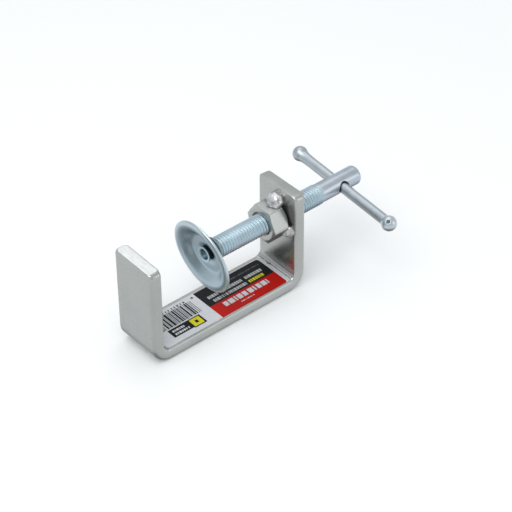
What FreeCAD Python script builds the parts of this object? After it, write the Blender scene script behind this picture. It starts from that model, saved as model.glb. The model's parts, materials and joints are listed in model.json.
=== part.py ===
import FreeCAD, Part

# A small screw clamp: a U-shaped frame bent from flat steel bar, a hexagon nut welded
# inside its drilled leg, a clamping screw with a sliding T-bar, and a loose dished pad
# on the screw's nose. Millimetres. X runs along the screw, from the fixed jaw to the
# T-bar, Z is up, and the origin is the centre of the frame's underside.

import os
import re

import Sketcher

SIZES = {
    # Frame, bent from flat bar
    "bar_width": 25.0,
    "bar_thick": 6.0,
    "frame_length": 87.0,
    "frame_height": 51.2,
    "bend_outside": 9.5,
    "bend_inside": 3.0,
    "end_corner": 1.6,
    "long_edge": 1.4,
    "end_allowance": 3.0,
    "screw_height": 35.4,
    "leg_hole_dia": 11.0,
    # Nut
    "nut_flats": 17.0,
    "nut_thick": 9.1,
    "nut_gap": 0.5,
    "nut_bore_dia": 10.1,
    "nut_sink": 0.95,
    "nut_face_dia": 16.0,
    "nut_front_angle": 15.0,
    "nut_back_angle": 30.0,
    "nut_turn": 3.6,
    # Weld beads between the nut and the leg
    "top_weld_length": 3.9,
    "top_weld_width": 4.1,
    "top_weld_rise": 3.6,
    "top_weld_back": 1.2,
    "top_weld_aside": 0.8,
    "top_weld_over": 1.3,
    "side_weld_length": 2.6,
    "side_weld_width": 2.4,
    "side_weld_rise": 3.6,
    "side_weld_back": 0.6,
    "side_weld_out": 9.5,
    "side_weld_drop": 3.1,
    "side_weld_lean": 30.0,
    # Screw: thread, plain head, turned stem with a flared hollow end
    "thread_dia": 10.0,
    "thread_pitch": 1.5,
    "thread_depth": 0.92,
    "thread_length": 60.0,
    "shoulder_place": 1.05,
    "head_dia": 9.3,
    "head_end": 84.4,
    "head_round": 2.0,
    "cross_hole_place": 73.15,
    "cross_hole_dia": 6.0,
    "cross_hole_edge": 0.3,
    "stem_dia": 6.0,
    "stem_neck": 4.35,
    "stem_length": 6.05,
    "flare_dia": 7.7,
    "flare_lip": 0.5,
    "stem_bore_dia": 4.7,
    "stem_bore_depth": 3.0,
    "stem_bore_mouth": 0.5,
    "bar_angle": 5.4,
    # Washer between the pad and the screw's shoulder
    "washer_dia": 12.0,
    "washer_thick": 0.9,
    "washer_gap": 0.05,
    "washer_bore_dia": 6.2,
    "washer_edge": 0.2,
    # Pad, a pressed dish, measured from the pivot in the middle of its hole
    "pivot_gap": 2.95,
    "pad_droop": 7.0,
    "pad_hole_dia": 6.8,
    "pad_thick": 1.5,
    "pad_flank": 1.28,
    "pad_boss_radius": 5.3,
    "pad_boss_depth": 1.0,
    "pad_floor_radius": 10.0,
    "pad_floor_place": 1.3,
    "pad_lip_radius": 13.8,
    "pad_lip_place": 4.7,
    "pad_crest_radius": 16.4,
    "pad_crest_place": 5.4,
    "pad_rim_radius": 18.2,
    "pad_rim_place": 4.4,
    "pad_bend": 1.6,
    # T-bar
    "rod_dia": 5.0,
    "ball_dia": 7.3,
    "far_reach": 26.2,
    "near_reach": 34.1,
    "flare_length": 6.5,
    "flare_large_dia": 6.2,
    "flare_in_ball": 1.9,
    "rod_depth_in_ball": 0.9,
    "punch_dia": 2.0,
    "punch_depth": 0.8,
    "punch_angle": 17.0,
    "punch_turn": 34.0,
    "bar_play": 0.2,
    # Label stuck on the floor of the frame
    "label_width": 21.0,
    "label_thick": 0.15,
    "label_corner": 1.5,
}

doc = FreeCAD.newDocument("screw_clamp")
sheet = doc.addObject("Spreadsheet::Sheet", "Sizes")
for row, (alias, value) in enumerate(SIZES.items(), start=1):
    sheet.set("A%d" % row, alias.replace("_", " "))
    sheet.set("B%d" % row, str(value))
    sheet.setAlias("B%d" % row, alias)
doc.recompute()


def from_sheet(text):
    """The expression with each size's name pointing at its cell."""
    return re.sub(r"[a-z_]+", lambda word: "Sizes." + word[0] if word[0] in SIZES else word[0], text)


def bind(thing, **expressions):
    """Binds properties of thing to expressions of the sheet's sizes."""
    for name, text in expressions.items():
        thing.setExpression(name, from_sheet(text))


def place(thing, along="0", across="0", up="0", turn="0", axis=(1, 0, 0)):
    """Puts a sub-part in the clamp's frame, turned about an axis by an angle in degrees."""
    thing.Placement = FreeCAD.Placement(FreeCAD.Vector(), FreeCAD.Rotation(FreeCAD.Vector(axis), 1.0))
    for path, text in (("Base.x", along), ("Base.y", across), ("Base.z", up), ("Rotation.Angle", turn)):
        thing.setExpression("Placement." + path, from_sheet(text))


def new_body(label):
    body = doc.addObject("PartDesign::Body", label)
    body.Label = label
    return body


def origin_plane(body, role):
    return next(plane for plane in body.Origin.OriginFeatures if plane.Role == role)


def new_sketch(body, name, role):
    sketch = body.newObject("Sketcher::SketchObject", name)
    sketch.AttachmentSupport = [(origin_plane(body, role), "")]
    sketch.MapMode = "FlatFace"
    return sketch


def add_outline(sketch, corners):
    """A closed outline of straight lines whose corners are pairs of expressions."""
    spots = [FreeCAD.Vector(*(float(sketch.evalExpression(from_sheet(text))) for text in corner), 0)
             for corner in corners]
    first = sketch.GeometryCount
    for start, end in zip(spots, spots[1:] + spots[:1]):
        sketch.addGeometry(Part.LineSegment(start, end), False)
    for index, corner in enumerate(corners):
        line = first + index
        after = first + (index + 1) % len(corners)
        sketch.addConstraint(Sketcher.Constraint("Coincident", line, 2, after, 1))
        for kind, text, value in zip(("DistanceX", "DistanceY"), corner, spots[index]):
            number = sketch.addConstraint(Sketcher.Constraint(kind, -1, 1, line, 1, value))
            sketch.setExpression("Constraints[%d]" % number, from_sheet(text))


def add_circle(sketch, diameter, centre=("0", "0")):
    """A circle whose diameter and centre are expressions."""
    value = float(sketch.evalExpression(from_sheet(diameter)))
    spot = [float(sketch.evalExpression(from_sheet(text))) for text in centre]
    drawn = Part.Circle(FreeCAD.Vector(*spot, 0), FreeCAD.Vector(0, 0, 1), value / 2)
    circle = sketch.addGeometry(drawn, False)
    number = sketch.addConstraint(Sketcher.Constraint("Diameter", circle, value))
    sketch.setExpression("Constraints[%d]" % number, from_sheet(diameter))
    for kind, crossing_axis, text, along in zip(("DistanceX", "DistanceY"), (-2, -1), centre, spot):
        if text == "0":
            sketch.addConstraint(Sketcher.Constraint("PointOnObject", circle, 3, crossing_axis))
            continue
        number = sketch.addConstraint(Sketcher.Constraint(kind, -1, 1, circle, 3, along))
        sketch.setExpression("Constraints[%d]" % number, from_sheet(text))


def pad_sketch(body, name, sketch, length, symmetric=False):
    pad = body.newObject("PartDesign::Pad", name)
    pad.Profile = sketch
    pad.SideType = "Symmetric" if symmetric else "One side"
    bind(pad, Length=length)
    doc.recompute()
    return pad


def cut_through(body, name, sketch, symmetric=False):
    """Cuts the sketch's outline right through, along its normal, or both ways."""
    before = body.Tip.Shape.Volume
    pocket = body.newObject("PartDesign::Pocket", name)
    pocket.Profile = sketch
    pocket.Type = "ThroughAll"
    pocket.SideType = "Symmetric" if symmetric else "One side"
    pocket.Reversed = not symmetric
    doc.recompute()
    if pocket.Shape.Volume >= before:
        raise RuntimeError(name + " cut nothing")
    return pocket


def revolve(body, name, kind, sketch):
    """Turns the sketch's outline a full turn about its own horizontal axis, which is X."""
    feature = body.newObject("PartDesign::" + kind, name)
    feature.Profile = sketch
    feature.ReferenceAxis = (sketch, ["H_Axis"])
    feature.Angle = 360
    doc.recompute()
    return feature


def ease(body, name, kind, size, chosen):
    """Fillets or chamfers the edges of the body that chosen accepts."""
    base = body.Tip
    names = ["Edge%d" % number for number, edge in enumerate(base.Shape.Edges, start=1) if chosen(edge)]
    if not names:
        raise RuntimeError(name + " found no edges")
    feature = body.newObject("PartDesign::" + kind, name)
    feature.Base = (base, names)
    bind(feature, **{"Radius" if kind == "Fillet" else "Size": size})
    doc.recompute()
    return feature


def value_of(text):
    return float(sheet.evalExpression(from_sheet(text)))


def near(first, second):
    return abs(first - second) < 0.01


def is_line_along(edge, axis):
    direction = edge.Curve.Direction if edge.Curve.TypeId == "Part::GeomLine" else None
    return direction is not None and near(abs(direction.dot(FreeCAD.Vector(axis))), 1)


def circle_at(edge, diameter, along=None):
    """True where the edge is a circle of this diameter, at this place along X if one is given."""
    if edge.Curve.TypeId != "Part::GeomCircle" or not near(edge.Curve.Radius * 2, value_of(diameter)):
        return False
    return along is None or near(edge.Curve.Center.x, value_of(along))


def make_frame():
    """The U-shaped frame: one flat bar with rounded edges, bent twice, drilled through the leg
    beside the nut, and cut off square with rounded corners."""
    body = new_body("bent_bar")
    outline = new_sketch(body, "bar_outline", "XZ_Plane")
    half = "frame_length/2"
    inner = "(frame_length/2 - bar_thick)"
    top = "frame_height + end_allowance"
    add_outline(outline, [
        ("-" + half, "0"), (half, "0"), (half, top), (inner, top), (inner, "bar_thick"),
        ("-" + inner, "bar_thick"), ("-" + inner, top), ("-" + half, top)])
    pad_sketch(body, "bar", outline, "bar_width", symmetric=True)

    hole = new_sketch(body, "leg_hole_outline", "YZ_Plane")
    add_circle(hole, "leg_hole_dia", ("0", "screw_height"))
    cut_through(body, "leg_hole", hole)

    ease(body, "outside_bends", "Fillet", "bend_outside",
         lambda edge: is_line_along(edge, (0, 1, 0)) and near(edge.CenterOfMass.z, 0))
    ease(body, "inside_bends", "Fillet", "bend_inside",
         lambda edge: is_line_along(edge, (0, 1, 0)) and near(edge.CenterOfMass.z, value_of("bar_thick")))
    ease(body, "long_edges", "Fillet", "long_edge",
         lambda edge: near(abs(edge.CenterOfMass.y), value_of("bar_width/2"))
         and edge.CenterOfMass.z < value_of("frame_height + end_allowance/2"))
    place(body)

    block = new_body("cut_off_block")
    section = new_sketch(block, "block_outline", "YZ_Plane")
    side = "bar_width/2"
    add_outline(section, [
        ("-" + side, "0"), (side, "0"), (side, "frame_height"), ("-" + side, "frame_height")])
    pad_sketch(block, "block", section, "frame_length", symmetric=True)
    ease(block, "end_corners", "Fillet", "end_corner",
         lambda edge: is_line_along(edge, (1, 0, 0)) and near(edge.CenterOfMass.z, value_of("frame_height")))
    place(block)

    frame = doc.addObject("Part::MultiCommon", "frame_bracket")
    frame.Shapes = [body, block]
    frame.Label = "frame_bracket"
    doc.recompute()
    return frame


def make_nut():
    """Hexagon nut, chamfered on both faces. Its thread is a plain bore that clears the screw."""
    body = new_body("weld_nut")
    prism = body.newObject("PartDesign::AdditivePrism", "hexagon")
    prism.AttachmentSupport = [(origin_plane(body, "YZ_Plane"), "")]
    prism.MapMode = "FlatFace"
    prism.Polygon = 6
    bind(prism, Circumradius="nut_flats / 2 / cos(30 deg)", Height="nut_thick")
    doc.recompute()

    corners = new_sketch(body, "corner_chamfer_outline", "XZ_Plane")
    face = "nut_face_dia/2"
    over = "nut_flats"
    front = "(nut_flats - nut_face_dia/2) * tan(nut_front_angle * 1 deg)"
    back = "(nut_flats - nut_face_dia/2) * tan(nut_back_angle * 1 deg)"
    add_outline(corners, [("0", face), ("0", over), (front, over)])
    add_outline(corners, [("nut_thick", face), ("nut_thick - " + back, over), ("nut_thick", over)])
    revolve(body, "corner_chamfers", "Groove", corners)

    bore = new_sketch(body, "nut_bore_outline", "YZ_Plane")
    add_circle(bore, "nut_bore_dia")
    cut_through(body, "nut_bore", bore)
    ease(body, "bore_countersinks", "Chamfer", "nut_sink", lambda edge: circle_at(edge, "nut_bore_dia"))
    place(body, along="frame_length/2 - bar_thick - nut_gap - nut_thick", up="screw_height",
          turn="nut_turn")
    return body


def make_weld(label, sizes, centre, lean, nut, frame):
    """One weld bead: a lump against the nut and the leg, cut back so that it only touches them."""
    length, width, rise = sizes
    lump = doc.addObject("Part::Ellipsoid", label + "_lump")
    lump.Angle1 = -90
    bind(lump, Radius1=rise, Radius2=length, Radius3=width)
    along, across, up = centre
    place(lump, along=along, across=across, up=up, turn=lean)
    on_nut = doc.addObject("Part::Cut", label + "_on_nut")
    on_nut.Base = lump
    on_nut.Tool = nut
    on_leg = doc.addObject("Part::Cut", label)
    on_leg.Base = on_nut
    on_leg.Tool = frame
    on_leg.Label = label
    doc.recompute()
    return on_leg


def make_welds(nut, frame):
    """The bead on top of the nut, the one on its near side, and its twin on the far side."""
    top = ("top_weld_length", "top_weld_width", "top_weld_rise")
    side = ("side_weld_length", "side_weld_width", "side_weld_rise")
    leg_face = "frame_length/2 - bar_thick - "
    top_centre = (leg_face + "top_weld_back", "-top_weld_aside", "screw_height + nut_flats/2 + top_weld_over")
    drop = "screw_height - side_weld_drop"
    near_centre = (leg_face + "side_weld_back", "-side_weld_out", drop)
    far_centre = (leg_face + "side_weld_back", "side_weld_out", drop)
    return [
        make_weld("weld_top", top, top_centre, "0", nut, frame),
        make_weld("weld_near_side", side, near_centre, "-side_weld_lean", nut, frame),
        make_weld("weld_far_side", side, far_centre, "side_weld_lean", nut, frame),
    ]


def make_screw():
    """The clamping screw. The thread is a plain cylinder of its outside diameter."""
    body = new_body("clamp_screw")
    outline = new_sketch(body, "screw_outline", "XZ_Plane")
    add_outline(outline, [
        ("-stem_length", "stem_bore_dia/2 + stem_bore_mouth"),
        ("-stem_length", "flare_dia/2"),
        ("-stem_length + flare_lip", "flare_dia/2"),
        ("-stem_neck", "stem_dia/2"),
        ("0", "stem_dia/2"),
        ("0", "thread_dia/2 - thread_depth"),
        ("thread_depth", "thread_dia/2"),
        ("thread_length", "thread_dia/2"),
        ("thread_length + thread_pitch", "head_dia/2"),
        ("head_end", "head_dia/2"),
        ("head_end", "0"),
        ("-stem_bore_depth + stem_bore_mouth", "0"),
        ("-stem_bore_depth", "stem_bore_dia/2"),
        ("-stem_length + stem_bore_mouth", "stem_bore_dia/2")])
    revolve(body, "turned_screw", "Revolution", outline)
    ease(body, "head_rounding", "Fillet", "head_round", lambda edge: circle_at(edge, "head_dia", "head_end"))

    hole = new_sketch(body, "cross_hole_outline", "XZ_Plane")
    add_circle(hole, "cross_hole_dia", ("cross_hole_place", "0"))
    cut_through(body, "cross_hole", hole, symmetric=True)
    ease(body, "cross_hole_edges", "Fillet", "cross_hole_edge",
         lambda edge: near(edge.CenterOfMass.x, value_of("cross_hole_place"))
         and abs(edge.CenterOfMass.y) > value_of("head_dia/4"))
    place(body, along="shoulder_place", up="screw_height", turn="bar_angle")
    return body


def make_washer():
    """Thin washer on the stem, between the pad and the screw's shoulder."""
    body = new_body("thrust_washer")
    outline = new_sketch(body, "washer_outline", "YZ_Plane")
    add_circle(outline, "washer_dia")
    add_circle(outline, "washer_bore_dia")
    pad_sketch(body, "washer_plate", outline, "washer_thick")
    ease(body, "washer_edges", "Fillet", "washer_edge", lambda edge: circle_at(edge, "washer_dia"))
    place(body, along="shoulder_place - washer_gap - washer_thick", up="screw_height")
    return body


def make_pad():
    """The pad: sheet pressed to a flat-floored dish with a rolled lip, dimpled back round its hole."""
    body = new_body("swivel_pad")
    outline = new_sketch(body, "pad_outline", "XZ_Plane")
    add_outline(outline, [
        ("pad_boss_depth - pad_floor_place", "pad_hole_dia/2"),
        ("-pad_floor_place", "pad_boss_radius"),
        ("-pad_floor_place", "pad_floor_radius"),
        ("-pad_lip_place", "pad_lip_radius"),
        ("-pad_crest_place", "pad_crest_radius"),
        ("-pad_rim_place - pad_thick/4", "pad_rim_radius"),
        ("-pad_rim_place + pad_thick/2", "pad_rim_radius"),
        ("-pad_crest_place + pad_thick", "pad_crest_radius"),
        ("-pad_lip_place + pad_flank", "pad_lip_radius + pad_thick/2"),
        ("-pad_floor_place + pad_thick", "pad_floor_radius + pad_thick/2"),
        ("-pad_floor_place + pad_thick", "pad_boss_radius"),
        ("pad_boss_depth - pad_floor_place + pad_flank", "pad_boss_radius - pad_thick/3"),
        ("pad_boss_depth - pad_floor_place + pad_flank", "pad_hole_dia/2")])
    revolve(body, "pressed_dish", "Revolution", outline)
    ease(body, "floor_bend", "Fillet", "pad_bend",
         lambda edge: circle_at(edge, "pad_floor_radius*2") or circle_at(edge, "pad_crest_radius*2"))
    ease(body, "rim_rounding", "Fillet", "pad_thick/3", lambda edge: circle_at(edge, "pad_rim_radius*2"))
    place(body, along="shoulder_place - pivot_gap", up="screw_height", turn="-pad_droop", axis=(0, 1, 0))
    return body


def place_on_bar(thing):
    """Turns a piece made along Z to lie along the T-bar, at the bottom of the cross hole."""
    place(thing, along="shoulder_place + cross_hole_place + bar_play", up="screw_height - bar_play",
          turn="bar_angle - 90")


def make_bar():
    """The T-bar's rod with the ball forged on its far end."""
    rod = doc.addObject("Part::Cylinder", "rod")
    bind(rod, Radius="rod_dia/2", Height="near_reach + far_reach + rod_depth_in_ball")
    place(rod, up="-near_reach - rod_depth_in_ball")
    flare = doc.addObject("Part::Cone", "flare")
    bind(flare, Radius1="rod_dia/2", Radius2="flare_large_dia/2", Height="flare_length - flare_in_ball")
    place(flare, up="far_reach - flare_length")
    ball = doc.addObject("Part::Sphere", "far_ball")
    bind(ball, Radius="ball_dia/2")
    place(ball, up="far_reach")
    bar = doc.addObject("Part::MultiFuse", "tommy_bar")
    bar.Shapes = [rod, flare, ball]
    bar.Label = "tommy_bar"
    place_on_bar(bar)
    return bar


def make_ball():
    """The near ball, pressed on the rod's end and fixed by a punch mark on its upper side,
    which is turned towards the jaw."""
    ball = doc.addObject("Part::Sphere", "near_ball")
    bind(ball, Radius="ball_dia/2")
    place(ball, up="-near_reach")
    bore = doc.addObject("Part::Cylinder", "ball_bore")
    bind(bore, Radius="rod_dia/2", Height="ball_dia")
    place(bore, up="-near_reach - rod_depth_in_ball")
    bored = doc.addObject("Part::Cut", "bored_ball")
    bored.Base = ball
    bored.Tool = bore
    punch = doc.addObject("Part::Cone", "punch_mark")
    bind(punch, Radius1="punch_dia/2", Radius2="0", Height="punch_depth")
    out = "-ball_dia/2 * cos(punch_angle * 1 deg)"
    place(punch, along=out + " * sin(punch_turn * 1 deg)", across=out + " * cos(punch_turn * 1 deg)",
          up="-near_reach - ball_dia/2 * sin(punch_angle * 1 deg)", turn="90 - punch_angle",
          axis=(-value_of("cos(punch_turn * 1 deg)"), value_of("sin(punch_turn * 1 deg)"), 0))
    end = doc.addObject("Part::Cut", "ball_end")
    end.Base = bored
    end.Tool = punch
    end.Label = "ball_end"
    place_on_bar(end)
    return end


def make_label():
    """The label stuck on the frame's floor, between the bends."""
    body = new_body("product_label")
    outline = new_sketch(body, "label_outline", "XY_Plane")
    half = "(frame_length/2 - bar_thick - bend_inside)"
    side = "label_width/2"
    add_outline(outline, [("-" + half, "-" + side), (half, "-" + side), (half, side), ("-" + half, side)])
    pad_sketch(body, "label_film", outline, "label_thick")
    ease(body, "label_corners", "Fillet", "label_corner", lambda edge: is_line_along(edge, (0, 0, 1)))
    place(body, up="bar_thick")
    return body


frame_bracket = make_frame()
weld_nut = make_nut()
sub_parts = [frame_bracket, weld_nut, *make_welds(weld_nut, frame_bracket), make_screw(), make_washer(),
             make_pad(), make_bar(), make_ball(), make_label()]
doc.recompute()

for thing in doc.Objects:
    if "Invalid" in thing.State or "Error" in thing.State:
        raise RuntimeError("%s failed: %s" % (thing.Label, thing.State))
for part in sub_parts:
    if part.Shape.isNull() or not part.Shape.isValid():
        raise RuntimeError(part.Label + " has no valid shape")

os.makedirs("parts", exist_ok=True)
for part in sub_parts:
    part.Shape.exportStep("parts/%s.step" % part.Label)
    box = part.Shape.BoundBox
    print("%-16s %d solid(s), %8.1f mm3, X %.2f..%.2f Y %.2f..%.2f Z %.2f..%.2f" % (
        part.Label, len(part.Shape.Solids), part.Shape.Volume,
        box.XMin, box.XMax, box.YMin, box.YMax, box.ZMin, box.ZMax))
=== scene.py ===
import json
import math

import bmesh
import bpy
from mathutils import Matrix, Vector, noise


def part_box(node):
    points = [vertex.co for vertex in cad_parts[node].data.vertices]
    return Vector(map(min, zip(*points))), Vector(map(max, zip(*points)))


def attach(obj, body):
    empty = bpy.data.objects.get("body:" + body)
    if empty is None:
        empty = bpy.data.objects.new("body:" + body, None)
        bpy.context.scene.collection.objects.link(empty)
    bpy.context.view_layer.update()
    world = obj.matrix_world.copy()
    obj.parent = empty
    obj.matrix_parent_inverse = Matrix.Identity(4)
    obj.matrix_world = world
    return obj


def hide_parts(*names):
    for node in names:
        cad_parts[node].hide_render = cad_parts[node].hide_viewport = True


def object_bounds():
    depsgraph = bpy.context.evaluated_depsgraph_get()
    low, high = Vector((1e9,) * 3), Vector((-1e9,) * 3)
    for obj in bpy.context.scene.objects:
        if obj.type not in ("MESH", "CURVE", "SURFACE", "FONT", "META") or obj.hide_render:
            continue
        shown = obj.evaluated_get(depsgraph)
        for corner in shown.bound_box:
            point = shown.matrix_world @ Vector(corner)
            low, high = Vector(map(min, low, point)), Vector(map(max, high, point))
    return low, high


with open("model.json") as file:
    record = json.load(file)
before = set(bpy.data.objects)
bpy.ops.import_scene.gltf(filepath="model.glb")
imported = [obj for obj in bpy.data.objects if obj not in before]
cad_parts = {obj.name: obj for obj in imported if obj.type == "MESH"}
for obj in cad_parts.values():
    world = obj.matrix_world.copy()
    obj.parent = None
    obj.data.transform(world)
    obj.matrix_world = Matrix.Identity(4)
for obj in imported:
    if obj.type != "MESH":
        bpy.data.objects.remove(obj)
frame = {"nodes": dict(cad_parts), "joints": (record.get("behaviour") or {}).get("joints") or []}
cad_low, cad_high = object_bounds()

# Shapes are worked out in millimetres, in the clamp's frame: X along the screw from the
# fixed jaw to the T-bar, Z up. They become metres when a piece is made.
MM = 0.001
SHARP_ANGLE = math.radians(38)


def box_mm(node):
    """A CAD node's lowest and highest corners, in millimetres."""
    low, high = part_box(node)
    return low / MM, high / MM


def joint_called(name):
    return next(joint for joint in frame["joints"] if joint["name"] == name)


def screw_height():
    """The height of the screw's axis, in metres."""
    low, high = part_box("clamp_screw")
    return (low.z + high.z) / 2


def ball_centres():
    """The centres of the T-bar's near and far balls, in millimetres."""
    near_low, near_high = box_mm("ball_end")
    far_high = box_mm("tommy_bar")[1]
    near = Vector(((near_low.x + near_high.x) / 2, near_low.y + BALL, (near_low.z + near_high.z) / 2))
    far = Vector((near.x, far_high.y - BALL, far_high.z - BALL))
    return near, far


# Roundings of the bar's long edges: far inside, near inside, near outside, far outside
BAR_ROUNDINGS = (0.9, 1.5, 1.7, 0.8)
BAR_THICK, BAR_HALF_WIDTH = 6.0, 12.5
# The inside radius of the bar's two bends
BEND = 3.0
# The jaw's end is cut a little out of square: it rises by this much for each millimetre in Y
JAW_SKEW = 0.032
# The leg's end slopes: its inside edge stands this much higher than its outside edge
LEG_SLOPE = 0.5
# The nut's back stands this far off the leg's inside face
NUT_GAP = 0.5
NUT_HALF_FLATS = 8.5
# The pad hangs tilted by this much
PAD_DROOP = math.radians(-7.0)
# The T-bar's rod and its two balls; the skin is the ball's outline, a little inside the CAD's
ROD, BALL, BALL_SKIN = 2.5, 3.65, 3.635
# The rod and the near ball's bore both end this far beyond that ball's centre
SUNK = 0.9
# Where the near ball's punch mark points
PUNCH = Vector((-0.535, -0.366, 0.762)).normalized()


# ---------------------------------------------------------------- mesh helpers

def add_grid(bm, rows, close_rows=False, close_columns=False):
    """Joins rows of points with quads. Points that fall together are merged later."""
    made = [[bm.verts.new(point) for point in row] for row in rows]
    count = len(made[0])
    next_rows = made[1:] + made[:1] if close_rows else made[1:]
    for first, second in zip(made, next_rows):
        for index in range(count if close_columns else count - 1):
            after = (index + 1) % count
            bm.faces.new((first[index], first[after], second[after], second[index]))
    return made


def spin(profile, steps, close_profile=False, matrix=None):
    """A surface of revolution about X from a profile of (place, radius) points."""
    bm = bmesh.new()
    rows = []
    for along, radius in profile:
        ring = []
        for step in range(steps):
            angle = math.tau * step / steps
            ring.append(Vector((along, radius * math.cos(angle), radius * math.sin(angle))))
        rows.append(ring)
    add_grid(bm, rows, close_rows=close_profile, close_columns=True)
    clean(bm)
    if matrix is not None:
        bm.transform(matrix)
    return bm


def clean(bm, distance=1e-4):
    """Merges points that fall together and drops faces that shrank to nothing."""
    bmesh.ops.remove_doubles(bm, verts=bm.verts, dist=distance)
    bmesh.ops.dissolve_degenerate(bm, edges=bm.edges, dist=distance)
    bmesh.ops.recalc_face_normals(bm, faces=bm.faces)


def round_profile(points, steps=6):
    """Rounds each corner of a closed profile. A point is (place, radius, size of its rounding)."""
    made = []
    for index, (along, radius, size) in enumerate(points):
        corner = Vector((along, radius))
        before = Vector(points[index - 1][:2]) - corner
        after = Vector(points[(index + 1) % len(points)][:2]) - corner
        start = corner + before.normalized() * min(size, before.length * 0.49)
        end = corner + after.normalized() * min(size, after.length * 0.49)
        for step in range(steps + 1):
            t = step / steps
            spot = start * (1 - t) ** 2 + corner * 2 * t * (1 - t) + end * t ** 2
            made.append((spot.x, spot.y))
    return made


def arc(centre, radius, start, end, steps):
    """Points of a profile on a circle round (centre, 0), by angle in degrees from +X."""
    made = []
    for step in range(steps + 1):
        angle = math.radians(start + (end - start) * step / steps)
        made.append((centre + radius * math.cos(angle), max(radius * math.sin(angle), 0.0)))
    return made


def smooth(low, high, value):
    """0 below low, 1 above high, and a smooth step between them."""
    t = min(max((value - low) / (high - low), 0.0), 1.0)
    return t * t * (3 - 2 * t)


def make_piece(name, bm, body, stands_for, finish):
    """Turns a mesh in millimetres into a piece that rides on a body in a node's place."""
    bmesh.ops.scale(bm, vec=(MM, MM, MM), verts=bm.verts)
    mesh = bpy.data.meshes.new(name)
    bm.to_mesh(mesh)
    bm.free()
    mesh.polygons.foreach_set("use_smooth", [True] * len(mesh.polygons))
    mesh.set_sharp_from_angle(angle=SHARP_ANGLE)
    mesh.materials.append(finish)
    piece = bpy.data.objects.new(name, mesh)
    bpy.context.scene.collection.objects.link(piece)
    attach(piece, body)
    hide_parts(stands_for)
    return piece


# ---------------------------------------------------------------- material helpers

def feed(tree, sockets, values):
    """Sets each socket to its value, or links it where the value is another node's output."""
    for socket, value in zip(sockets, values):
        if isinstance(value, bpy.types.NodeSocket):
            tree.links.new(value, socket)
        else:
            socket.default_value = value


def enabled(sockets):
    return [socket for socket in sockets if socket.enabled]


def add(tree, kind, **inputs):
    """Adds a shader node. An input is a value, or another node's output to link."""
    node = tree.nodes.new("ShaderNode" + kind)
    for name, value in inputs.items():
        wanted = name.replace("_", " ")
        feed(tree, [socket for socket in enabled(node.inputs) if socket.name == wanted], [value])
    return node


def math_node(tree, operation, *values):
    node = tree.nodes.new("ShaderNodeMath")
    node.operation = operation
    feed(tree, node.inputs, values)
    return node.outputs[0]


def mix(tree, data_type, blend, values):
    """Mixes two values. The values are the factor, the first and the second."""
    node = tree.nodes.new("ShaderNodeMix")
    node.data_type, node.blend_type = data_type, blend
    feed(tree, enabled(node.inputs), values)
    return enabled(node.outputs)[0]


def mix_colour(tree, factor, first, second, blend="MIX"):
    return mix(tree, "RGBA", blend, (factor, first, second))


def mix_value(tree, factor, first, second):
    return mix(tree, "FLOAT", "MIX", (factor, first, second))


def ramp(tree, factor, stops, interpolation="LINEAR"):
    """A colour ramp whose stops are (place, grey value or colour)."""
    node = tree.nodes.new("ShaderNodeValToRGB")
    node.color_ramp.interpolation = interpolation
    elements = node.color_ramp.elements
    while len(elements) > 1:
        elements.remove(elements[-1])
    for index, (place, value) in enumerate(stops):
        element = elements[0] if index == 0 else elements.new(place)
        element.position = place
        element.color = value if len(value) == 4 else (*value, 1.0)
    tree.links.new(factor, node.inputs[0])
    return node.outputs[0]


def grey(value):
    return (value, value, value)


def new_material(name, **shader):
    """A material with a Principled shader whose uniform values sit on its own sockets."""
    material = bpy.data.materials.new(name)
    material.use_nodes = True
    tree = material.node_tree
    surface = tree.nodes["Principled BSDF"]
    for key, value in shader.items():
        surface.inputs[key.replace("_", " ")].default_value = value
    return material, tree, surface


def object_place(tree):
    """Coordinates in the clamp's frame, in metres, that move with the piece."""
    return tree.nodes.new("ShaderNodeTexCoord").outputs["Object"]


def axis_of(tree, place, axis):
    return add(tree, "SeparateXYZ", Vector=place).outputs[axis]


def distance_to(tree, place, spot):
    """How far a point lies from a spot, in metres."""
    node = tree.nodes.new("ShaderNodeVectorMath")
    node.operation = "DISTANCE"
    feed(tree, node.inputs, (place, spot))
    return node.outputs["Value"]


def textured(tree, place, scale, detail):
    """A noise texture's value. The larger the scale, the finer the noise."""
    return add(tree, "TexNoise", Vector=place, Scale=scale, Detail=detail).outputs[0]


def bump(tree, surface, height, strength, distance):
    """Roughens a shader's surface with fine relief, by a distance in metres."""
    node = add(tree, "Bump", Strength=strength, Distance=distance, Height=height)
    tree.links.new(node.outputs[0], surface.inputs["Normal"])


def spread(tree, source, low, high, to_low, to_high):
    """Maps a value between two limits onto two others, and clamps it."""
    return add(tree, "MapRange", Value=source, From_Min=low, From_Max=high,
               To_Min=to_low, To_Max=to_high).outputs[0]


def between(tree, source, low, high, soft):
    """1 between two limits in millimetres and 0 outside them, with soft edges."""
    rise = spread(tree, source, (low - soft) * MM, (low + soft) * MM, 0.0, 1.0)
    fall = spread(tree, source, (high - soft) * MM, (high + soft) * MM, 1.0, 0.0)
    return math_node(tree, "MULTIPLY", rise, fall)


# ---------------------------------------------------------------- materials

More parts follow.
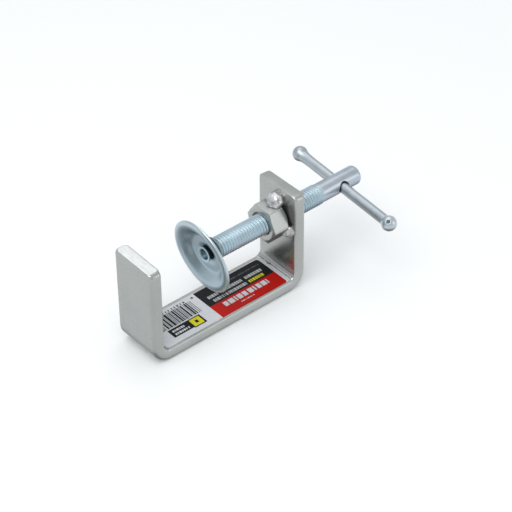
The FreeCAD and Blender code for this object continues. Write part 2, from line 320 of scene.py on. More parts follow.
def make_paint():
    """Silver-grey stoving paint: fine metal flake, a little orange peel, a pale sheared end on the jaw,
    and a painted shadow on the leg beside the nut."""
    material, tree, surface = new_material("silver_paint", Metallic=0.92)
    place = object_place(tree)
    clouds = textured(tree, place, 70.0, 3.0)
    flakes = textured(tree, place, 2600.0, 2.0)
    peel = textured(tree, place, 900.0, 2.0)

    body = ramp(tree, clouds, [(0.3, (0.43, 0.442, 0.425)), (0.7, (0.475, 0.485, 0.468))])
    flake_tone = ramp(tree, flakes, [(0.35, grey(0.97)), (0.65, grey(1.02))])
    body = mix_colour(tree, 1.0, body, flake_tone, "MULTIPLY")

    # The jaw's end, bare of paint but for its softened edges and a rim along its inside edge
    low, high = box_mm("frame_bracket")
    skewed = math_node(tree, "MULTIPLY", axis_of(tree, place, "Y"), JAW_SKEW)
    height = math_node(tree, "SUBTRACT", axis_of(tree, place, "Z"), skewed)
    high_up = spread(tree, height, (high.z - 0.06) * MM, (high.z - 0.01) * MM, 0.0, 1.0)
    rim = low.x + BAR_THICK - 0.7
    on_jaw = spread(tree, axis_of(tree, place, "X"), rim * MM, (rim + 0.3) * MM, 1.0, 0.0)
    bare = math_node(tree, "MULTIPLY", high_up, on_jaw)
    streaks = add(tree, "Mapping", Vector=place, Scale=(900.0, 250.0, 100.0)).outputs[0]
    streaks = textured(tree, streaks, 1.0, 4.0)
    pale = ramp(tree, streaks, [(0.3, (0.74, 0.75, 0.74)), (0.6, (0.85, 0.86, 0.85))])
    body = mix_colour(tree, bare, body, pale)

    # Painted shadow: the paint is darkened on the leg's face beside the nut, where the nut's shadow falls
    face = box_mm("weld_nut")[1].x + NUT_GAP
    spot = Vector((face, -4.5, screw_height() / MM + 2.6)) * MM
    nut_painted_shadow = spread(tree, distance_to(tree, place, spot), 0.0088, 0.0125, 0.5, 0.0)
    on_face = between(tree, axis_of(tree, place, "X"), face - 0.3, face + 0.5, 0.25)
    body = mix_colour(tree, math_node(tree, "MULTIPLY", nut_painted_shadow, on_face), body, (0.02, 0.022, 0.022, 1.0))
    tree.links.new(body, surface.inputs["Base Color"])

    satin = spread(tree, clouds, 0.3, 0.7, 0.24, 0.31)
    tree.links.new(mix_value(tree, bare, satin, 0.62), surface.inputs["Roughness"])
    bump(tree, surface, mix_value(tree, bare, peel, streaks), 0.05, 0.00002)
    return material


def make_weld(name, dark, middle, light):
    """Weld metal under thin bright paint: patchier and rougher than the bar."""
    material, tree, surface = new_material(name, Metallic=0.9)
    place = object_place(tree)
    patches = textured(tree, place, 420.0, 4.0)
    body = ramp(tree, patches, [(0.32, grey(dark)), (0.44, grey(middle)), (0.60, grey(light))])
    tree.links.new(body, surface.inputs["Base Color"])
    tree.links.new(spread(tree, patches, 0.3, 0.7, 0.48, 0.30), surface.inputs["Roughness"])
    bump(tree, surface, textured(tree, place, 1500.0, 3.0), 0.25, 0.00008)
    return material


# The painted shade, the painted highlight and the polish in the zinc plate's colour
PAINTED_SHADE_TINT, POLISH_TINT = (0.20, 0.24, 0.27, 1.0), (0.93, 0.87, 0.885, 1.0)
PAINTED_HIGHLIGHT_ZINC = (0.53, 0.62, 0.66, 1.0)
POLISHED_ROUGHNESS = 0.34
# The fine rings that turning leaves, across X
TURNED_GRAIN = (3500.0, 300.0, 300.0)


def make_zinc(name, grain, cool, warm, rough, shaded=None, painted_highlight=None, polished=None):
    """Bright zinc plate. The grain stretches fine tool marks, and the colour drifts between a
    cool and a warm tint. Painted shade darkens it where shaded gives 1, a painted highlight
    brightens it where painted_highlight gives 1, and it is smoother and deeper in tone where polished gives
    1."""
    material, tree, surface = new_material(name, Metallic=1.0)
    place = object_place(tree)
    blotches = textured(tree, place, 160.0, 4.0)
    tint = textured(tree, place, 45.0, 1.0)
    stretched = add(tree, "Mapping", Vector=place, Scale=grain).outputs[0]

    plate = ramp(tree, tint, [(0.35, cool), (0.65, warm)])
    blotchy = ramp(tree, blotches, [(0.3, grey(0.92)), (0.7, grey(1.06))])
    plate = mix_colour(tree, 1.0, plate, blotchy, "MULTIPLY")
    dull = spread(tree, blotches, 0.3, 0.7, *rough)
    # Painted shade darkens the plate where shaded gives 1, and a painted highlight lightens it where the rim
    # mask gives 1
    if shaded is not None:
        painted_shade_colour = mix_colour(tree, 1.0, plate, PAINTED_SHADE_TINT, "MULTIPLY")
        plate = mix_colour(tree, shaded(tree, place), plate, painted_shade_colour)
    if painted_highlight is not None:
        plate = mix_colour(tree, painted_highlight(tree, place), plate, PAINTED_HIGHLIGHT_ZINC)
    if polished is not None:
        smoothed = polished(tree, place)
        deeper = mix_colour(tree, 1.0, plate, POLISH_TINT, "MULTIPLY")
        plate = mix_colour(tree, smoothed, plate, deeper)
        dull = mix_value(tree, smoothed, dull, POLISHED_ROUGHNESS)
    tree.links.new(plate, surface.inputs["Base Color"])
    tree.links.new(dull, surface.inputs["Roughness"])
    bump(tree, surface, textured(tree, stretched, 1.0, 3.0), 0.3, 0.00001)
    return material


def stem_painted_shade(tree, place):
    """Painted shade on the screw's hollow stem and its flank, behind the bright lip at its end."""
    start = box_mm("clamp_screw")[0].x
    return between(tree, axis_of(tree, place, "X"), start + 0.22, start + 6.0, 0.08)


def pad_hole_painted_shade(tree, place):
    """Painted shade in the pad's hole and the bottom of the dimple round it."""
    rise = math_node(tree, "SUBTRACT", axis_of(tree, place, "Z"), screw_height())
    squares = [math_node(tree, "MULTIPLY", value, value) for value in (axis_of(tree, place, "Y"), rise)]
    away = math_node(tree, "SQRT", math_node(tree, "ADD", *squares))
    return spread(tree, away, 0.0036, 0.0043, 0.8, 0.0)


def pad_lip_painted_highlight(tree, place):
    """A painted highlight on the pad's outermost edge, told by its distance from the pad's pivot."""
    pivot = joint_called("pad_tilt")["pos_m"]
    return spread(tree, distance_to(tree, place, pivot), 0.0165, 0.0176, 0.0, 1.0)


def plain_head(tree, place):
    """The screw's head, past the end of its thread."""
    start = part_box("clamp_screw")[0].x + 0.066
    return spread(tree, axis_of(tree, place, "X"), start, start + 0.003, 0.0, 1.0)


# The label's fields and inks. Places are in millimetres in the clamp's frame.
LABEL_FIELD = (-4.2, 33.8)
LABEL_SPLIT = -2.1
LABEL_EDGES = (-11.3, 10.2)
# The ramps that place the bars run over this much on either side of the clamp's middle
LABEL_SPAN = 40.0
# A ramp holds 32 stops at most, and a bar takes two of them
MOST_BARS = 15
WHITE_INK, GREY_INK, BLACK_INK = (0.62, 0.63, 0.65), (0.10, 0.105, 0.11), (0.009, 0.010, 0.012)
RED_INK, YELLOW_INK = (0.47, 0.008, 0.004), (0.66, 0.60, 0.02)
SMALL_INK, DIRT_AND_SHADE_INK = (0.48, 0.49, 0.50), (0.045, 0.047, 0.05)


def bars(tree, source, spans):
    """1 inside any of the spans, which are in millimetres, and 0 outside them all."""
    stops = [(0.0, grey(0.0))]
    for start, end in spans:
        stops.append(((start + LABEL_SPAN) / (2 * LABEL_SPAN), grey(1.0)))
        stops.append(((end + LABEL_SPAN) / (2 * LABEL_SPAN), grey(0.0)))
    return ramp(tree, source, stops, "CONSTANT")


def strip(tree, along, across, rows, spans):
    """A row of plain bars: 1 inside any of the spans along X and between the rows' limits in Y."""
    total = bars(tree, along, spans[:MOST_BARS])
    for first in range(MOST_BARS, len(spans), MOST_BARS):
        more = bars(tree, along, spans[first:first + MOST_BARS])
        total = math_node(tree, "MAXIMUM", total, more)
    return math_node(tree, "MULTIPLY", total, bars(tree, across, [rows]))


def rounded_field(tree, along, across, x_range, y_range, corner):
    """1 inside a rectangle with rounded corners. The two coordinates are in metres."""
    squares = []
    for source, (low, high) in ((along, x_range), (across, y_range)):
        away = math_node(tree, "ABSOLUTE", math_node(tree, "SUBTRACT", source, (low + high) / 2 * MM))
        over = math_node(tree, "SUBTRACT", away, ((high - low) / 2 - corner) * MM)
        over = math_node(tree, "MAXIMUM", over, 0.0)
        squares.append(math_node(tree, "MULTIPLY", over, over))
    return math_node(tree, "LESS_THAN", math_node(tree, "ADD", *squares), (corner * MM) ** 2)


def word(start, end, widths, gap):
    """A row of plain blocks from start to end. It takes its widths in turn."""
    narrowest = 0.3
    spans = []
    while start < end - narrowest:
        width = widths[len(spans) % len(widths)]
        spans.append((start, min(start + width, end)))
        start += width + gap
    return spans


def make_print():
    """The label's print: a black and a red field, a white margin, plain blocks and stripes."""
    material, tree, surface = new_material("label_print", Specular_IOR_Level=0.12)
    place = object_place(tree)
    x, y = axis_of(tree, place, "X"), axis_of(tree, place, "Y")
    span = LABEL_SPAN * MM
    along = spread(tree, x, -span, span, 0.0, 1.0)
    across = spread(tree, y, -span, span, 0.0, 1.0)

    # Rounded corners at the leg's end only: the field is cut off square at the white margin
    field = rounded_field(tree, x, y, (-LABEL_FIELD[1], LABEL_FIELD[1]), (-11.6, 9.9), 1.6)
    field = math_node(tree, "MULTIPLY", field, math_node(tree, "GREATER_THAN", x, LABEL_FIELD[0] * MM))
    far_side = math_node(tree, "GREATER_THAN", y, LABEL_SPLIT * MM)
    inks_of_field = mix_colour(tree, far_side, (*RED_INK, 1.0), (*BLACK_INK, 1.0))
    colour = mix_colour(tree, field, (*WHITE_INK, 1.0), inks_of_field)

    # Stripes across the white block: (place, width)
    stripes = [
        (-32.8, 0.4), (-31.9, 0.5), (-31.0, 0.3), (-30.3, 0.7), (-29.3, 0.4), (-28.6, 0.4), (-27.7, 0.9),
        (-26.5, 0.4), (-25.8, 0.9), (-24.5, 0.4), (-23.8, 1.0), (-22.4, 0.4), (-21.7, 0.4), (-21.0, 0.4),
        (-20.3, 0.4), (-19.5, 1.0), (-18.2, 0.6), (-17.3, 0.4), (-16.6, 0.4), (-15.9, 0.4), (-15.2, 0.4),
        (-14.5, 1.0), (-13.1, 0.5), (-12.3, 0.8), (-11.2, 0.8), (-9.9, 0.4), (-8.9, 0.3)]
    small, fine, bold = (0.9, 0.6, 1.2, 0.8), (0.5, 0.8, 0.4), (2.3, 2.6, 1.1, 2.4)
    inks = [
        (BLACK_INK, (-2.1, 6.9), [(spot, spot + width) for spot, width in stripes]),
        (GREY_INK, (7.4, 8.6), word(-32.0, -10.0, (0.8, 0.6), 1.0)),
        (GREY_INK, (7.4, 8.5), [(-7.0, -5.7)]),
        (BLACK_INK, (-8.3, -2.8), [(-29.0, -16.0)]),
        (WHITE_INK, (-5.0, -3.9), word(-27.4, -20.6, small, 0.35)),
        (WHITE_INK, (-7.2, -6.1), word(-27.4, -19.6, small, 0.35)),
        (BLACK_INK, (-8.9, -2.6), [(-18.1, -11.2)]),
        (YELLOW_INK, (-8.2, -3.3), [(-17.3, -12.0)]),
        (BLACK_INK, (-6.6, -4.9), [(-15.6, -13.9)]),
        (SMALL_INK, (2.1, 4.0), word(-1.0, 4.4, small, 0.35) + word(6.0, 18.6, small, 0.35)
         + word(20.6, 30.5, small, 0.35)),
        (SMALL_INK, (-1.2, 0.7), word(-0.2, 19.1, small, 0.35)),
        (YELLOW_INK, (-1.2, 0.7), word(20.5, 28.9, small, 0.35)),
        (GREY_INK, (6.0, 6.9), word(4.0, 31.6, fine, 0.4)),
        (WHITE_INK, (-6.7, -3.7), word(1.7, 27.2, bold, 0.65)),
        (WHITE_INK, (-8.8, -8.2), word(9.0, 16.8, fine, 0.4)),
    ]
    for ink, rows, spans in inks:
        colour = mix_colour(tree, strip(tree, along, across, rows, spans), colour, (*ink, 1.0))

    # The crumpled end: it is greyer, with a smudge of dirt, painted shade along a crease and a painted shadow
    # along its lifted edge
    end = spread(tree, x, (LABEL_FIELD[1] + 0.4) * MM, 0.0366, 0.0, 0.6)
    colour = mix_colour(tree, end, colour, (0.34, 0.34, 0.33, 1.0))
    blot = rounded_field(tree, x, y, (35.2, 36.1), (2.7, 5.2), 0.4)
    speckle = spread(tree, textured(tree, place, 900.0, 2.0), 0.36, 0.50, 0.0, 1.0)
    # Painted shade along the crease and a painted shadow at the lifted end edge; the blot is dirt
    crease = between(tree, x, 35.70, 35.98, 0.05)
    lifted_edge_shadow = between(tree, x, 36.74, 38.0, 0.05)
    dirt_and_shade = math_node(tree, "MAXIMUM", blot, math_node(tree, "MAXIMUM", crease, lifted_edge_shadow))
    colour = mix_colour(tree, math_node(tree, "MULTIPLY", dirt_and_shade, speckle), colour, (*DIRT_AND_SHADE_INK, 1.0))

    grain = textured(tree, place, 700.0, 2.0)
    paper = ramp(tree, grain, [(0.3, grey(0.94)), (0.7, grey(1.04))])
    colour = mix_colour(tree, 1.0, colour, paper, "MULTIPLY")
    tree.links.new(colour, surface.inputs["Base Color"])
    tree.links.new(spread(tree, grain, 0.3, 0.7, 0.34, 0.48), surface.inputs["Roughness"])
    bump(tree, surface, textured(tree, place, 160.0, 1.0), 0.2, 0.0001)
    return material


# ---------------------------------------------------------------- pieces

def rounded_section(far_half, near_half, inset, level, end_roundings):
    """The bar's section at a depth below its end, as a loop of points. A point is (share of the
    thickness from outside to inside, place across). The end's own roundings pass into the
    bar's over end_depth."""
    corner_steps, face_steps, end_depth = 8, 12, 2.0
    corners = []
    for quarter, (side, face) in enumerate(((1, 1), (-1, 1), (-1, -1), (1, -1))):
        rounding = BAR_ROUNDINGS[quarter]
        rounding += (end_roundings[quarter] - rounding) * (1 - smooth(0.0, end_depth, level))
        half = far_half if side > 0 else near_half
        across, through = side * (half - rounding), face * (BAR_THICK / 2 - inset - rounding)
        corner = []
        for step in range(corner_steps + 1):
            angle = math.pi / 2 * (quarter + step / corner_steps)
            share = 0.5 + (through + rounding * math.sin(angle)) / BAR_THICK
            corner.append((share, across + rounding * math.cos(angle)))
        corners.append(corner)
    spots = []
    for quarter, corner in enumerate(corners):
        spots += corner
        if quarter % 2 == 0:
            share, start = corner[-1]
            end = corners[quarter + 1][0][1]
            spots += [(share, start + (end - start) * step / face_steps) for step in range(1, face_steps)]
    return spots


def rounded_off(radius, level):
    """How far a rounded corner has drawn in, at a depth below the end."""
    return radius - math.sqrt(max(radius ** 2 - max(radius - level, 0.0) ** 2, 0.0))


def make_frame(finish):
    """The bent bar: round-edged flat bar bent twice, its ends sheared a little out of true."""
    near_corner, softness = 2.5, 0.3
    outside, bend_steps, hole = 9.5, 16, 5.5
    high = box_mm("frame_bracket")[1]
    half, top, half_width = high.x, high.z, high.y
    # Stations away from the ends count as this deep, where nothing is rounded off
    deep = 99.0

    # Stations from the jaw's end to the leg's: outer point, inner point, depth below the end
    levels = [0.0, 0.03, 0.09, 0.18, 0.3, 0.5, 0.75, 1.0, 1.3, 1.6, 1.9, 2.2, 2.6]
    jaw = [((-half, top - level), (BAR_THICK - half, top - level), level) for level in levels]
    jaw += [((-half, height), (BAR_THICK - half, height), deep) for height in (42.0, 32.0, 22.0, 14.0)]
    for step in range(bend_steps + 1):
        angle = math.pi / 2 * step / bend_steps
        outer, inner = [
            (start + radius * (1 - math.cos(angle)), start + half + radius * (1 - math.sin(angle)))
            for start, radius in ((-half, outside), (BAR_THICK - half, BEND))]
        jaw.append((outer, inner, deep))
    jaw += [((x, 0.0), (x, BAR_THICK), deep) for x in (-25.0, -15.0, -5.0)]
    leg = [((-outer[0], outer[1]), (-inner[0], inner[1]), level) for outer, inner, level in reversed(jaw)]

    rows = []
    for stations, far_corner, end_roundings, skew, slope in (
            (jaw, 1.1, (1.8, 1.8, 1.8, 1.8), JAW_SKEW, 0.0),
            (leg, 0.8, (1.2, 1.8, 1.8, 1.0), 0.0, LEG_SLOPE)):
        for outer, inner, level in stations:
            spots = rounded_section(half_width - rounded_off(far_corner, level),
                                    half_width - rounded_off(near_corner, level),
                                    rounded_off(softness, level), level, end_roundings)
            row = []
            for share, across in spots:
                along, height = [start + (end - start) * share for start, end in zip(outer, inner)]
                if level < deep:
                    height += skew * across + slope * share
                row.append(Vector((along, across, height)))
            rows.append(row)
    bm = bmesh.new()
    made = add_grid(bm, rows, close_columns=True)
    for end in (made[0], made[-1]):
        bm.faces.new(end)
    clean(bm)
    bar = plain_object("bar", bm)

    # The drill's cone leaves a chamfer on the leg's outside face
    start = half - BAR_THICK - 2.0
    profile = [(start, 0.0), (start, hole), (half - 0.3, hole), (half + 0.7, hole + 1.0),
               (half + 2, hole + 1.0), (half + 2, 0.0)]
    drill = spin(profile, 96, matrix=Matrix.Translation((0, 0, screw_height() / MM)))
    drill = plain_object("drill", drill)
    cut_out = bar.modifiers.new("hole", "BOOLEAN")
    cut_out.operation, cut_out.object, cut_out.solver = "DIFFERENCE", drill, "EXACT"
    drilled = bmesh.new()
    drilled.from_mesh(bar.evaluated_get(bpy.context.evaluated_depsgraph_get()).data)
    for helper in (bar, drill):
        bpy.data.objects.remove(helper)
    return make_piece("bracket_painted", drilled, "frame", "frame_bracket", finish)


def plain_object(name, bm):
    """A helper object, in millimetres, for a boolean cut."""
    mesh = bpy.data.meshes.new(name)
    bm.to_mesh(mesh)
    bm.free()
    helper = bpy.data.objects.new(name, mesh)
    bpy.context.scene.collection.objects.link(helper)
    return helper


def make_screw(finish):
    """The clamping screw: the turned ends of the CAD screw, joined by a real helical thread."""
    pitch, crest, root, core, plain = 1.5, 5.0, 4.42, 4.08, 4.65
    stem, thread_length, columns = 6.05, 60.0, 48
    flanks = [(0.0, 0.0), (0.10, 0.02), (0.18, 0.15), (0.28, 0.45), (0.38, 0.80), (0.44, 0.95), (0.5, 1.0),
              (0.56, 0.95), (0.62, 0.80), (0.72, 0.45), (0.82, 0.15), (0.90, 0.02)]
    low, high = box_mm("clamp_screw")
    shoulder = low.x + stem
    plain_start = shoulder + thread_length + pitch
    middle = (low.z + high.z) / 2

    bm = bmesh.new()
    bm.from_mesh(frame["nodes"]["clamp_screw"].data)
    bmesh.ops.scale(bm, vec=(1 / MM, 1 / MM, 1 / MM), verts=bm.verts)
    bmesh.ops.translate(bm, vec=(0, 0, -middle), verts=bm.verts)
    clean(bm)

    def in_thread(vertex):
        spread_out = math.hypot(vertex.co.y, vertex.co.z)
        return spread_out > core - 0.02 and shoulder - 0.02 < vertex.co.x < plain_start + 0.02

    gone = [face for face in bm.faces if all(in_thread(vertex) for vertex in face.verts)]
    bmesh.ops.delete(bm, geom=gone, context="FACES")
    rims = [edge for edge in bm.edges if edge.is_boundary]
    rim_groups = [[edge for edge in rims if edge.verts[0].co.x < plain_start / 2],
                  [edge for edge in rims if edge.verts[0].co.x > plain_start / 2]]

    start, end = shoulder + 0.12, plain_start - 0.12
    turns = math.ceil((end - start) / pitch) + 2
    rows = []
    for turn in range(-1, turns):
        for phase, height in flanks:
            row = []
            for column in range(columns + 1):
                angle = math.tau * column / columns
                along = min(max(start + pitch * (turn + phase + column / columns), start), end)
                # A clamped point lies on the plain ring at either end, whatever its phase
                radius = root + (crest - root) * height
                radius = min(radius, core + (along - start) * 1.1)
                radius += (plain - radius) * smooth(end - 1.6, end, along)
                row.append(Vector((along, radius * math.cos(angle), radius * math.sin(angle))))
            rows.append(row)
    made = add_grid(bm, rows)
    bmesh.ops.remove_doubles(bm, verts=[vertex for row in made for vertex in row], dist=1e-4)
    loose = [edge for edge in bm.edges if edge.is_boundary and edge not in rims]
    for rim, place in zip(rim_groups, (start, end)):
        ring = [edge for edge in loose if all(abs(vertex.co.x - place) < 1e-3 for vertex in edge.verts)]
        bmesh.ops.bridge_loops(bm, edges=rim + ring)
    bmesh.ops.recalc_face_normals(bm, faces=bm.faces)
    bmesh.ops.translate(bm, vec=(0, 0, middle), verts=bm.verts)
    return make_piece("screw_threaded", bm, "screw", "clamp_screw", finish)


def make_nut(finish):
    """The hexagon nut with its paint-softened corners and chamfers."""
    low, high = box_mm("weld_nut")
    thick = high.x - low.x
    middle = (low.z + high.z) / 2
    bore, sink, face = 5.05, 0.95, 8.0
    # The nut stands turned by this much from having two flats level
    turn = math.radians(3.6)
    columns, corner_power, edge_softness = 192, 60, 0.3

    def hexagon(angle):
        """The outline's distance from the axis. A higher power makes the corners sharper."""
        total = sum(max(math.cos(angle - turn - math.pi / 3 * side - math.pi / 2), 0.0) ** corner_power
                    for side in range(6))
        return NUT_HALF_FLATS / total ** (1 / corner_power)

    def softer(first, second):
        """The smaller of the two, with a soft passage where they meet."""
        share = max(edge_softness - abs(first - second), 0.0) / edge_softness
        return min(first, second) - share * share * edge_softness / 4

    def half_nut(chamfer):
        """One face's half of the profile, as (depth below the face, radius)."""
        slope = math.tan(math.radians(chamfer))
        rows = [(sink + 1.0, bore), (sink, bore), (sink * 0.5, bore + sink * 0.5), (0.08, bore + sink - 0.08),
                (0.02, bore + sink + 0.05), (0.0, bore + sink + 0.25), (0.0, 7.2), (0.0, face - 0.3),
                (0.015, face - 0.1)]
        rows += [(0.03 + (radius - face) * slope, radius)
                 for radius in (8.1, 8.3, 8.6, 8.8, 9.0, 9.2, 9.4, 9.6, 9.8, 10.0, 10.3)]
        return rows + [(1.6, 11.0), (2.4, 11.0), (3.6, 11.0)]

    profile = half_nut(15) + [(thick - along, radius) for along, radius in reversed(half_nut(30))]
    rows = []
    for along, cap in profile:
        row = []
        for column in range(columns):
            angle = math.tau * column / columns
            radius = cap if cap < face - 0.2 else softer(hexagon(angle), cap)
            row.append(Vector((low.x + along, radius * math.cos(angle), middle + radius * math.sin(angle))))
        rows.append(row)
    bm = bmesh.new()
    add_grid(bm, rows, close_rows=True, close_columns=True)
    clean(bm)
    return make_piece("nut_painted", bm, "frame", "weld_nut", finish)


def make_bead(name, node, centre, radii, lean, bumps, seed, finish):
    """A weld bead: a lump, leaning by some degrees, with swellings and pits. A swelling is
    (direction, size, height), and a pit has a negative height."""
    bm = bmesh.new()
    bmesh.ops.create_icosphere(bm, subdivisions=6, radius=1.0)
    turn = Matrix.Rotation(math.radians(lean), 3, "X")
    for vertex in bm.verts:
        ray = vertex.co.normalized()
        swell = 1.0
        for direction, size, height in bumps:
            away = 1.0 - ray.dot(Vector(direction).normalized())
            swell += height * math.exp(-away / size)
        swell += 0.085 * noise.noise(ray * 2.4 + Vector((seed, 0, 0)))
        swell += 0.022 * noise.noise(ray * 6.5 + Vector((0, seed, 0)))
        spot = Vector((ray.x * radii[0], ray.y * radii[1], ray.z * radii[2])) * swell
        vertex.co = turn @ spot + Vector(centre)
    return make_piece(name, bm, "frame", node, finish)


def make_beads(bright, dull):
    nut_low, nut_high = box_mm("weld_nut")
    leg = nut_high.x + NUT_GAP
    middle = (nut_low.z + nut_high.z) / 2
    top = (leg - 1.3, -0.7, middle + NUT_HALF_FLATS + 1.6)
    make_bead("bead_top", "weld_top", top, (4.0, 4.2, 3.9), 0, [
        ((-0.29, -0.97, 0.44), 0.07, 0.10),
        ((-0.29, -0.97, 0.44), 0.018, -0.34),
        ((-1.0, 0.0, -0.25), 0.07, 0.18),
        ((-0.6, -0.6, -0.3), 0.05, 0.10),
        ((-0.45, -0.1, 0.95), 0.06, 0.08),
        ((-0.75, -0.5, 0.35), 0.03, 0.07)], 3.7, bright)
    across, height, radii = 9.5, middle - 3.1, (3.3, 2.4, 2.5)
    make_bead("bead_near_side", "weld_near_side", (leg - 0.6, -across, height), radii, -30, [
        ((-0.3, -0.9, 0.0), 0.03, -0.14),
        ((-0.9, 0.3, 0.1), 0.08, 0.16),
        ((0.0, -0.6, 0.8), 0.05, 0.10)], 8.1, dull)
    make_bead("bead_far_side", "weld_far_side", (leg - 0.6, across, height), radii, 30, [
        ((-0.4, 0.8, 0.3), 0.05, -0.10),
        ((-0.8, 0.3, -0.3), 0.08, 0.08)], 5.3, dull)


def punch_painted_shade(tree, place):
    """Painted shade in the punch mark on the near ball."""
    spot = (ball_centres()[0] + PUNCH * (BALL - 0.45)) * MM
    return spread(tree, distance_to(tree, place, spot), 0.00068, 0.00090, 1.0, 0.0)


def bar_matrix():
    """Takes X to the T-bar's axis, from its near ball to its far one."""
    axis = Vector(joint_called("bar_slide")["axis"]).normalized()
    up = axis.cross(Vector((1, 0, 0)))
    across = up.cross(axis)
    return Matrix((axis, across, up)).transposed().to_4x4()


def make_bar(finish):
    """The T-bar's rod, which swells into the ball forged on its far end."""
    near, far = ball_centres()
    length = (far - near).length
    swell_start, swell_steps = length - 9.0, 16
    neck_radius, gentle = 3.12, 0.22
    profile = [(-SUNK, 0.0), (-SUNK, ROD)]
    profile += [(along, ROD) for along in (0.0, 10.0, 20.0, 30.0, 40.0, swell_start)]
    neck = math.pi - math.asin(neck_radius / BALL_SKIN)
    swell = length + BALL_SKIN * math.cos(neck) - swell_start
    for step in range(1, swell_steps + 1):
        t = step / swell_steps
        rise = gentle * t ** 2 + (neck_radius - ROD - gentle) * t ** 6
        profile.append((swell_start + swell * t, ROD + rise))
    profile += arc(length, BALL_SKIN, math.degrees(neck), 0, 24)[1:]
    matrix = Matrix.Translation(near) @ bar_matrix()
    return make_piece("bar_rod", spin(profile, 64, matrix=matrix), "t_bar", "tommy_bar", finish)


def make_ball(finish):
    """The ball pressed on the rod's near end, with a narrow collar and one punch mark."""
    near = ball_centres()[0]
    neck, step_up, flare, collar, collar_steps = 2.52, 0.06, 0.39, 0.9, 5
    mouth = math.asin((neck + step_up + flare) / BALL_SKIN)
    start, inside = BALL_SKIN * math.cos(mouth), neck - 0.1
    profile = [(-SUNK, 0.0), (-SUNK, inside), (3.3, inside), (start + collar + 0.05, inside)]
    for step in range(collar_steps + 1):
        t = step / collar_steps
        profile.append((start + collar * (1 - t), neck + step_up + flare * t ** 2.5))
    profile += arc(0.0, BALL_SKIN, math.degrees(mouth), 180, 56)[1:]
    matrix = Matrix.Translation(near) @ bar_matrix()
    bm = spin(profile, 96, matrix=matrix)
    pit_depth, pit_size, lip_height, lip_radius, lip_size = 0.8, 0.8, 0.07, 1.15, 0.25
    for vertex in bm.verts:
        ray = vertex.co - near
        if ray.length < BALL - 0.2:
            continue
        away = (ray.normalized() - PUNCH).length * BALL
        vertex.co -= PUNCH * pit_depth * math.exp(-(away / pit_size) ** 4)
        vertex.co += PUNCH * lip_height * math.exp(-((away - lip_radius) / lip_size) ** 2)
    return make_piece("bar_ball", bm, "t_bar", "ball_end", finish)


def make_pad(finish):
    """The pad: sheet pressed to a dish with a wide rolled lip and a dimple round its hole."""
    pivot = Vector(joint_called("pad_tilt")["pos_m"]) / MM
    hole, rim = 3.40, 18.18
    profile = round_profile([
        (-0.30, hole, 0.35), (-1.30, 5.30, 1.2), (-1.30, 10.0, 1.2), (-4.70, 13.8, 2.5),
        (-5.40, 16.4, 1.7), (-4.775, rim, 0.5),
        (-3.65, rim, 0.5), (-3.90, 16.4, 1.3), (-3.42, 14.55, 1.8), (0.20, 10.75, 2.8),
        (0.20, 5.3, 0.5), (0.98, 4.97, 0.7), (0.98, hole, 0.3)])
    matrix = Matrix.Translation(pivot) @ Matrix.Rotation(PAD_DROOP, 4, "Y")
    bm = spin(profile, 144, close_profile=True, matrix=matrix)
    return make_piece("pad_pressed", bm, "pad", "swivel_pad", finish)


def make_label(finish):
    """The label's film, which runs over the bar's rounded near edge, curls up into both bends
    and is creased at the leg."""
    low, high = box_mm("product_label")
    flat, floor, thick, corner = high.x, low.z, high.z - low.z, 1.5
    rounding = BAR_ROUNDINGS[1]
    flat_edge = BAR_HALF_WIDTH - rounding
    ends = (-flat - 1.45, flat + 2.75)
    # The film's underside stays this far off the bar
    underside = 0.004
    columns, rows = 300, 48
    top, bottom = [], []
    for column in range(columns + 1):
        along = ends[0] + (ends[1] - ends[0]) * column / columns
        side = 1 if along > 0 else -1
        angle = max(abs(along) - flat, 0.0) / BEND
        spot = Vector((side * (min(abs(along), flat) + BEND * math.sin(angle)), 0.0,
                       floor + BEND * (1 - math.cos(angle))))
        outward = Vector((-side * math.sin(angle), 0.0, math.cos(angle)))
        inset = corner - min(min(along - ends[0], ends[1] - along), corner)
        inset = corner - math.sqrt(max(corner ** 2 - inset ** 2, 0.0))
        top_row, bottom_row = [], []
        for row in range(rows + 1):
            across = LABEL_EDGES[0] + inset + (LABEL_EDGES[1] - LABEL_EDGES[0] - 2 * inset) * row / rows
            over = max(abs(across) - flat_edge, 0.0)
            drop = rounding - math.sqrt(rounding ** 2 - over ** 2)
            lift = 0.03 * (1 + noise.noise(Vector((along * 0.5, across * 0.5, 2.0))))
            wander = 0.5 * noise.noise(Vector((across * 0.25, 7.0, 0.0)))
            for crease, height in ((flat + 0.5 + wander, 0.10), (flat + 1.15, 0.12), (flat + 1.65, 0.12)):
                lift += height * math.exp(-((along - crease) / 0.2) ** 2)
            lift += 0.16 * smooth(flat + 2.1, ends[1], along)
            spot.y = across
            top_row.append(spot + outward * (thick + lift - drop))
            bottom_row.append(spot + outward * (underside + 0.9 * lift - drop))
        top.append(top_row)
        bottom.append(bottom_row)
    skin = [top_row + bottom_row[::-1] for top_row, bottom_row in zip(top, bottom)]
    bm = bmesh.new()
    made = add_grid(bm, skin, close_columns=True)
    for end in (made[0], made[-1]):
        for index in range(rows):
            bm.faces.new((end[index], end[index + 1], end[-2 - index], end[-1 - index]))
    clean(bm, 1e-5)
    return make_piece("label_film", bm, "frame", "product_label", finish)


def dress(node, finish):
    """Gives a CAD node its material."""
    target = frame["nodes"][node]
    for index in range(len(target.material_slots)):
        target.material_slots[index].material = finish


# ---------------------------------------------------------------- surroundings

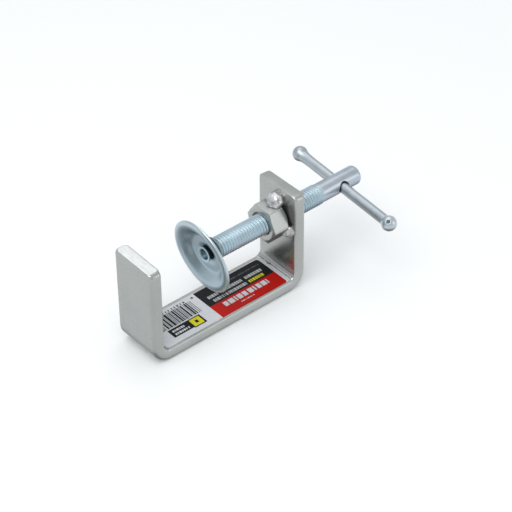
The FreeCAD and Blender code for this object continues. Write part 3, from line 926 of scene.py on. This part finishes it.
def make_floor():
    bm = bmesh.new()
    bmesh.ops.create_grid(bm, x_segments=8, y_segments=8, size=3.0)
    mesh = bpy.data.meshes.new("floor")
    bm.to_mesh(mesh)
    bm.free()
    paper = new_material("floor_paper", Roughness=0.9, Base_Color=(0.93, 0.93, 0.93, 1.0))[0]
    mesh.materials.append(paper)
    floor = bpy.data.objects.new("floor", mesh)
    # Just below the clamp, so that the two never touch
    floor.location.z = cad_low.z - 0.00005
    bpy.context.scene.collection.objects.link(floor)
    floor.visible_glossy = False


def look_at(spot, target):
    return (spot - target).to_track_quat("Z", "Y")


def make_lamp(name, spot, target, size, power, colour=(1, 1, 1)):
    lamp = bpy.data.lights.new(name, "AREA")
    lamp.shape = "RECTANGLE"
    lamp.size, lamp.size_y = size
    lamp.energy = power
    lamp.color = colour
    holder = bpy.data.objects.new(name, lamp)
    holder.location = spot
    holder.rotation_euler = look_at(Vector(spot), target).to_euler()
    holder.visible_camera = False
    bpy.context.scene.collection.objects.link(holder)


def make_camera():
    """The viewing angle of a product picture: from the fixed jaw's side, looking down. The
    numbers come from a fit to the photo, in millimetres and degrees."""
    low, high = box_mm("frame_bracket")
    target = (low + high) / 2 + Vector((-1.733, 0.0, -0.6))
    azimuth, elevation, roll = math.radians(-40.1015), math.radians(39.0220), math.radians(-0.6320)
    distance, aside, above = 882.360, 20.294, 6.193
    back = Vector((math.sin(azimuth) * math.cos(elevation), -math.cos(azimuth) * math.cos(elevation),
                   math.sin(elevation)))
    level = Vector((math.cos(azimuth), math.sin(azimuth), 0.0))
    over = back.cross(level)
    right = level * math.cos(roll) + over * math.sin(roll)
    up = over * math.cos(roll) - level * math.sin(roll)
    spot = target + back * distance + right * aside + up * above
    lens = bpy.data.cameras.new("camera")
    lens.sensor_width = 36.0
    lens.lens = 140.55
    lens.clip_start = 0.01
    camera = bpy.data.objects.new("camera", lens)
    camera.matrix_world = Matrix.Translation(spot * MM) @ Matrix((right, up, back)).transposed().to_4x4()
    bpy.context.scene.collection.objects.link(camera)
    bpy.context.scene.camera = camera


def make_world():
    """Soft light from all sides. It darkens downwards, as under a clamp that stands close to a
    table, and the floor itself isn't mirrored."""
    world = bpy.data.worlds.new("studio")
    world.use_nodes = True
    tree = world.node_tree
    direction = tree.nodes.new("ShaderNodeTexCoord").outputs["Generated"]
    height = spread(tree, axis_of(tree, direction, "Z"), -1.0, 1.0, 0.0, 1.0)
    tones = [(0.0, 0.24), (0.09, 0.42), (0.18, 0.96), (0.35, 1.05), (0.5, 0.80), (0.7, 0.72)]
    sky = ramp(tree, height, [(place, (0.94 * tone, 0.975 * tone, tone)) for place, tone in tones])
    tree.links.new(sky, tree.nodes["Background"].inputs["Color"])
    bpy.context.scene.world = world
    bpy.context.scene.view_settings.view_transform = "Standard"


paint = make_paint()
bright_weld = make_weld("bright_weld", 0.46, 0.58, 0.70)
grey_weld = make_weld("grey_weld", 0.36, 0.45, 0.55)
zinc_turned = make_zinc(
    "zinc_turned", TURNED_GRAIN, (0.50, 0.63, 0.70), (0.55, 0.64, 0.69), (0.40, 0.50),
    shaded=stem_painted_shade, polished=plain_head)
zinc_drawn = make_zinc(
    "zinc_drawn", (2500.0, 80.0, 2500.0), (0.44, 0.485, 0.52), (0.49, 0.53, 0.565), (0.32, 0.44),
    shaded=punch_painted_shade)
zinc_ball = make_zinc(
    "zinc_ball", (600.0, 600.0, 600.0), (0.56, 0.61, 0.65), (0.62, 0.66, 0.69), (0.26, 0.36),
    shaded=punch_painted_shade)
zinc_pressed = make_zinc(
    "zinc_pressed", (500.0, 500.0, 500.0), (0.41, 0.505, 0.56), (0.45, 0.55, 0.605), (0.30, 0.40),
    shaded=pad_hole_painted_shade, painted_highlight=pad_lip_painted_highlight)
zinc_dull = make_zinc(
    "zinc_dull", TURNED_GRAIN, (0.20, 0.25, 0.28), (0.26, 0.30, 0.33), (0.45, 0.55))
label_print = make_print()

make_frame(paint)
make_screw(zinc_turned)
make_nut(paint)
make_beads(bright_weld, grey_weld)
make_pad(zinc_pressed)
make_bar(zinc_drawn)
make_ball(zinc_ball)
make_label(label_print)
dress("thrust_washer", zinc_dull)

make_floor()
make_world()
make_camera()
aim = Vector((0.0, 0.0, 0.03))
make_lamp("key", (-0.35, -0.15, 0.75), aim, (0.6, 0.6), 2.9)
make_lamp("side_fill", (0.55, -0.75, 0.30), aim, (0.5, 0.4), 0.6)
make_lamp("top_fill", (0.25, 0.30, 0.85), aim, (0.7, 0.7), 1.2)
